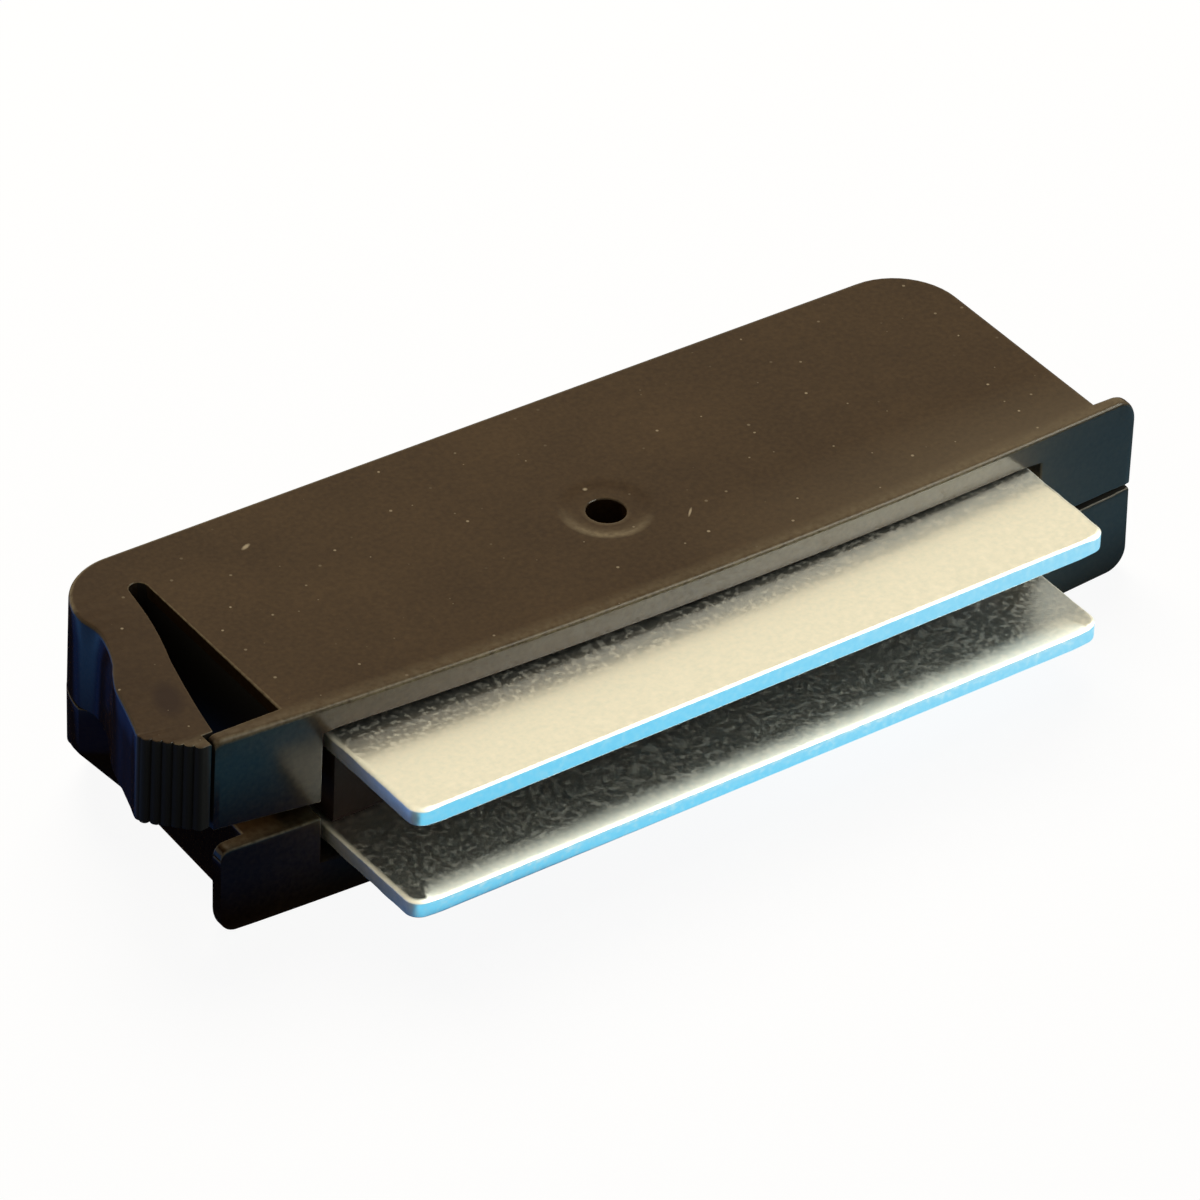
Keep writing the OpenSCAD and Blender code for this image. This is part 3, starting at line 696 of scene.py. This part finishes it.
pack = {"length": 45.5, "depth": 21.6, "thick": 1.2, "corner": 0.9, "out": 8.6, "hole": 3.5, "holeAt": (-0.45, 14.335),
        "low": 2.65, "tilt": 0.9, "turn": 1.0,
        "magnetHigh": 4.9, "magnetEnd": 0.4, "magnetFront": 8.1, "magnetDeep": 12.45, "magnetEdge": (0.15, 0.15),
        "rollOver": {"upper_pole_plate": (0.2, 0.12), "lower_pole_plate": (1.7, 0.22)},
        "edge": (0.3, 0.15), "underEdge": (0.1, 0.1), "rollFade": 0.7, "unevenScale": 0.95}
packLow = pack["low"] + pack["length"] / 2 * sin(radians(pack["tilt"]))
packPlace = (Matrix.Translation((0, -pack["out"], packLow)) @ Matrix.Rotation(radians(pack["turn"]), 4, "Z")
             @ Matrix.Rotation(radians(pack["tilt"]), 4, "Y"))


def divided(ring, longest):
    # adds points to a ring's straight runs
    points = []
    for a, b in zip(ring, ring[1:] + ring[:1]):
        steps = max(1, round((b - a).length / longest))
        points += [a.lerp(b, i / steps) for i in range(steps)]
    return points


def slab(outline, bottom, top, under, over):
    # a flat piece with a rounded upper and lower edge and the post's clearance hole
    mesh = {"points": [], "faces": [], "edgeMark": {}}
    rings = []
    straight = max(p.x for p in outline) - pack["corner"]
    # a small turn at the outside, then an ever flatter slope up to the face
    profile = [(0.0, 1.25), (0.02, 1.05)] + [(i / 6, (1 - i / 6) ** 2) for i in range(1, 7)]
    for (reach, rise), height, sign in ((under, bottom, 1), (over, top, -1)):
        sizes = []
        for p in outline:
            share = min(1, max(0, (straight - abs(p.x)) / pack["rollFade"])) if p.y < 0.01 else 0
            uneven = 1 + (0.4 - 0.25 * share) * unevenness(p, pack["unevenScale"], height)
            sizes.append([uneven * (small + (large - small) * share)
                          for small, large in zip(pack["edge"], (reach, rise))])
        for along, drop in (reversed(profile) if sign > 0 else profile):
            ring = inset(outline, [size[0] * along for size in sizes])
            rings.append([Vector((p.x, p.y, height + sign * size[1] * drop)) for p, size in zip(ring, sizes)])
            if sign < 0 and along > 0:
                markEdge(mesh, rings[-1], [min(1, 1.3 * (1 - along))] * len(ring))
    chain(mesh, rings)
    low, high = (level(circle(pack["holeAt"], pack["hole"]), height) for height in (bottom, top))
    cap(mesh, rings[0], [low])
    cap(mesh, rings[-1], [high])
    strip(mesh, low, high)
    return mesh


def plate(name, bottom, node):
    half, turn = pack["length"] / 2, pack["corner"]
    left, right, front, back = turn - half, half - turn, turn, pack["depth"] - turn
    corners = ((left, front, 180), (right, front, 270), (right, back, 0), (left, back, 90))
    rounded = [p for x, y, start in corners for p in arc((x, y), turn, start, start + 90, 8)]
    mesh = slab(divided(rounded, 0.5), bottom, bottom + pack["thick"], pack["underEdge"], pack["rollOver"][node])
    makePiece(name, mesh, packPlace, zinc, "magnet_pack", node)


def magnetBlock():
    right = pack["length"] / 2 - pack["magnetEnd"]
    left, front, back = -right, pack["magnetFront"], pack["magnetFront"] + pack["magnetDeep"]
    corners = [Vector(c) for c in ((left, front), (right, front), (right, back), (left, back))]
    mesh = slab(divided(corners, 0.8), pack["thick"], pack["thick"] + pack["magnetHigh"],
                pack["magnetEdge"], pack["magnetEdge"])
    makePiece("magnetBlock", mesh, packPlace, ferrite, "magnet_pack", "magnet")


plate("upperPolePlate", pack["thick"] + pack["magnetHigh"], "upper_pole_plate")
plate("lowerPolePlate", 0, "lower_pole_plate")
magnetBlock()
print("magnet pack built")


# studio: pale floor, white backdrop, soft warm light from above and behind, a front window seen only in reflections;
# the floor's zones as in the nylon, the first two giving how far forward the floor's painted shadow reaches in
# reflections, in m

studio = {"floor": "#646668", "shade": "#27466b", "mirror": "#78d8ff", "mirrorFar": "#a2e2ff", "shadowLeft": "#1f4282",
          "shadowNear": "#284f7c", "shadowUnder": "#070d1c", "mirrorLeft": "#64aaff", "mirrorSky": "#fff1d0",
          "warm": "#fff1da", "window": "#f2f5ea", "keyPower": 2.1, "windowPower": 4.9, "sky": 0.07,
          "floorGlow": 0.93, "floorMirror": 1.15, "floorZ": -0.00003, "aim": (0, 0.004, 0.006),
          "zones": {"front": (0, 10.0, -12.0, 0.0095), "corner": (0, -22.0, -34.0, 0.022), "along": (0, 0.0, 40.0, 1.0),
                    "near": (1, -2.0, -5.0, 1.0), "under": (0, -34.8, -32.6, 1.0), "away": (0, -37.0, -43.0, 1.0),
                    "inner": (0, -30.0, -28.0, 1.0)}}


def floorMaterial():
    # white to the camera, glowing sky blue in reflections with painted shadow about the object, a deeper blue where it
    # throws light back
    material, tree = newMaterial("paleFloor")
    rays = addNode(tree, "ShaderNodeLightPath", {}, {})
    pale = addNode(tree, "ShaderNodeBsdfDiffuse", {"Color": toLinear(studio["floor"])}, {})
    white = addNode(tree, "ShaderNodeEmission", {"Color": (1, 1, 1, 1), "Strength": studio["floorGlow"]}, {})
    seen = addNode(tree, "ShaderNodeAddShader", {}, {0: pale.outputs[0], 1: white.outputs[0]})
    shade = addNode(tree, "ShaderNodeBsdfDiffuse", {"Color": toLinear(studio["shade"])}, {})
    # in reflections it glows bright in front of the window; painted shadow makes it dark towards the spring arm and the
    # back, and dimmer still close around the object
    place = addNode(tree, "ShaderNodeTexCoord", {}, {}).outputs["Object"]
    spot = addNode(tree, "ShaderNodeSeparateXYZ", {}, {0: place})
    zones = {name: zone(tree, spot, limits) for name, limits in studio["zones"].items()}
    edge = addNode(tree, "ShaderNodeMath", {"operation": "MAXIMUM"},
                   {0: zones["front"].outputs[0], 1: zones["corner"].outputs[0]})
    ahead = addNode(tree, "ShaderNodeMath", {"operation": "ADD"}, {0: spot.outputs[1], 1: edge.outputs[0]})
    bright = addNode(tree, "ShaderNodeMapRange", {"From Min": 0.0, "From Max": -0.004}, {0: ahead.outputs[0]})
    sky = addNode(tree, "ShaderNodeMix",
                  {"data_type": "RGBA", 6: toLinear(studio["mirror"]), 7: toLinear(studio["mirrorFar"])},
                  {0: zones["along"].outputs[0]})
    # painted shadow: close around and under the object the floor's reflection is darkened
    beside = addNode(tree, "ShaderNodeMath", {"operation": "MAXIMUM"},
                     {0: zones["near"].outputs[0], 1: zones["under"].outputs[0]})
    left = addNode(tree, "ShaderNodeMix",
                   {"data_type": "RGBA", 6: toLinear(studio["shadowLeft"]), 7: toLinear(studio["mirrorLeft"])},
                   {0: zones["away"].outputs[0]})
    deep = addNode(tree, "ShaderNodeMix", {"data_type": "RGBA", 7: toLinear(studio["shadowUnder"])},
                   {0: beside.outputs[0], 6: left.outputs[2]})
    before = addNode(tree, "ShaderNodeMath", {"operation": "MULTIPLY"},
                     {0: zones["near"].outputs[0], 1: zones["inner"].outputs[0]})
    dim = addNode(tree, "ShaderNodeMix", {"data_type": "RGBA", 7: toLinear(studio["shadowNear"])},
                  {0: before.outputs[0], 6: deep.outputs[2]})
    blue = addNode(tree, "ShaderNodeMix", {"data_type": "RGBA"},
                   {0: bright.outputs[0], 6: dim.outputs[2], 7: sky.outputs[2]})
    mirror = addNode(tree, "ShaderNodeEmission", {"Strength": studio["floorMirror"]}, {"Color": blue.outputs[2]})
    unseen = addNode(tree, "ShaderNodeMixShader", {},
                     {0: rays.outputs["Is Glossy Ray"], 1: shade.outputs[0], 2: mirror.outputs[0]})
    both = addNode(tree, "ShaderNodeMixShader", {},
                   {0: rays.outputs["Is Camera Ray"], 1: unseen.outputs[0], 2: seen.outputs[0]})
    addNode(tree, "ShaderNodeOutputMaterial", {}, {0: both.outputs[0]})
    return material


def floor():
    bpy.ops.mesh.primitive_plane_add(size=6, location=(0, 0, studio["floorZ"]))  # a hair under the casing
    plane = bpy.context.object
    plane.name = "floor"
    plane.data.materials.append(floorMaterial())


def softLight(name, place, size, power, colour, mirrorOnly):
    lamp = bpy.data.lights.new(name, "AREA")
    lamp.shape = "DISK"
    lamp.size = size
    lamp.energy = power
    lamp.color = toLinear(colour)[:3]
    holder = bpy.data.objects.new(name, lamp)
    holder.location = place
    holder.rotation_euler = (Vector(studio["aim"]) - Vector(place)).to_track_quat("-Z", "Y").to_euler()
    holder.visible_glossy, holder.visible_diffuse = mirrorOnly, not mirrorOnly
    bpy.context.scene.collection.objects.link(holder)


def backdrop():
    # white to the camera, warm in reflections, dim where it lights the object
    world = bpy.data.worlds.new("backdrop")
    bpy.context.scene.world = world
    world.use_nodes = True
    tree = world.node_tree
    tree.nodes.clear()
    rays = addNode(tree, "ShaderNodeLightPath", {}, {})
    dim = addNode(tree, "ShaderNodeBackground", {"Color": toLinear(studio["warm"]), "Strength": studio["sky"]}, {})
    mirror = addNode(tree, "ShaderNodeBackground", {"Color": toLinear(studio["mirrorSky"]), "Strength": 1.0}, {})
    white = addNode(tree, "ShaderNodeBackground", {"Color": (1, 1, 1, 1), "Strength": 1.0}, {})
    unseen = addNode(tree, "ShaderNodeMixShader", {},
                     {0: rays.outputs["Is Glossy Ray"], 1: dim.outputs[0], 2: mirror.outputs[0]})
    both = addNode(tree, "ShaderNodeMixShader", {},
                   {0: rays.outputs["Is Camera Ray"], 1: unseen.outputs[0], 2: white.outputs[0]})
    addNode(tree, "ShaderNodeOutputWorld", {}, {0: both.outputs[0]})


floor()
backdrop()
softLight("overheadSoftbox", (0.12, 0.30, 0.50), 0.45, studio["keyPower"], studio["warm"], False)
softLight("frontWindow", (0.398, -0.289, 0.38), 0.44, studio["windowPower"], studio["window"], True)
print("studio lit")


# camera: fitted to the photo's edges; angles in degrees, lengths in mm
view = {"target": (-0.459, 6.208, 5.806), "azimuth": -35.421, "elevation": 37.247, "roll": 1.453,
        "distance": 634.7, "lens": 351.8}


def photoCamera():
    a, e, r = (radians(view[k]) for k in ("azimuth", "elevation", "roll"))
    back = Vector((sin(a) * cos(e), -cos(a) * cos(e), sin(e)))
    right = Vector((cos(a), sin(a), 0))
    up = back.cross(right)
    right, up = right * cos(r) + up * sin(r), up * cos(r) - right * sin(r)
    camera = bpy.data.cameras.new("photoCamera")
    camera.sensor_width = 36
    camera.lens = view["lens"]
    camera.clip_start, camera.clip_end = 0.01, 20
    holder = bpy.data.objects.new("photoCamera", camera)
    turn = Matrix((right, up, back)).transposed().to_4x4()
    holder.matrix_world = Matrix.Translation((Vector(view["target"]) + back * view["distance"]) * mm) @ turn
    bpy.context.scene.collection.objects.link(holder)
    bpy.context.scene.camera = holder


photoCamera()
bpy.context.scene.view_settings.view_transform = "Standard"
print("camera set")
